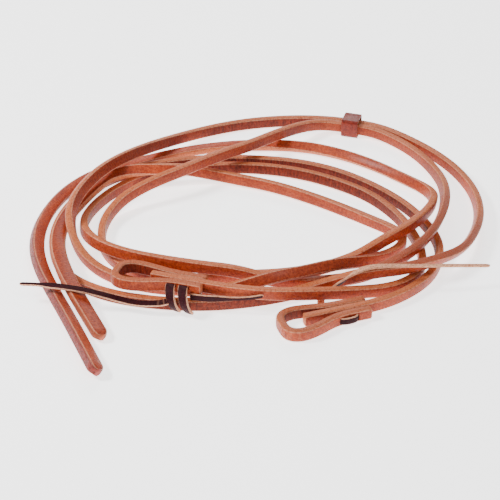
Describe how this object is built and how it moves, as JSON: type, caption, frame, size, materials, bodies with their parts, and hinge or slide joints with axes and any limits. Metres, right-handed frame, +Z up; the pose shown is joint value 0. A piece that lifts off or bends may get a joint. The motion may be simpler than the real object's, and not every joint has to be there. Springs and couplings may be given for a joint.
{
  "type": "leather split reins",
  "caption": "Pair of split reins in harness leather, coiled, with laced bit loops and a sliding leather keeper.",
  "frame": {"origin": "on the floor, under the middle of the coil's bounding box", "axes": "+Z up, -Y towards the bit ends and the strap tails, +X to the right when seen from the bit ends"},
  "size_m": [0.3694, 0.371, 0.0317],
  "materials": {
    "harness_leather": "oiled russet grain, semi-gloss",
    "latigo_lace": "burgundy-black grain, pale flesh side",
    "keeper_leather": "dark maroon grain"
  },
  "bodies": {
    "reins": {"rein_a_strap": "harness_leather", "rein_b_strap": "harness_leather", "rein_a_bit_loop": "harness_leather", "rein_b_bit_loop": "harness_leather", "lace_a_turn_1": "latigo_lace", "lace_a_turn_2": "latigo_lace", "lace_a_left_tail": "latigo_lace", "lace_a_right_tail": "latigo_lace", "lace_b_bar": "latigo_lace", "lace_b_tail": "latigo_lace"},
    "keeper": {"keeper": "keeper_leather"}
  },
  "joints": [
    {"name": "keeper_slide", "type": "slide", "parent": "reins", "child": "keeper", "axis": [0.9588, -0.284, 0], "range_m": [-0.003, 0.004]}
  ]
}
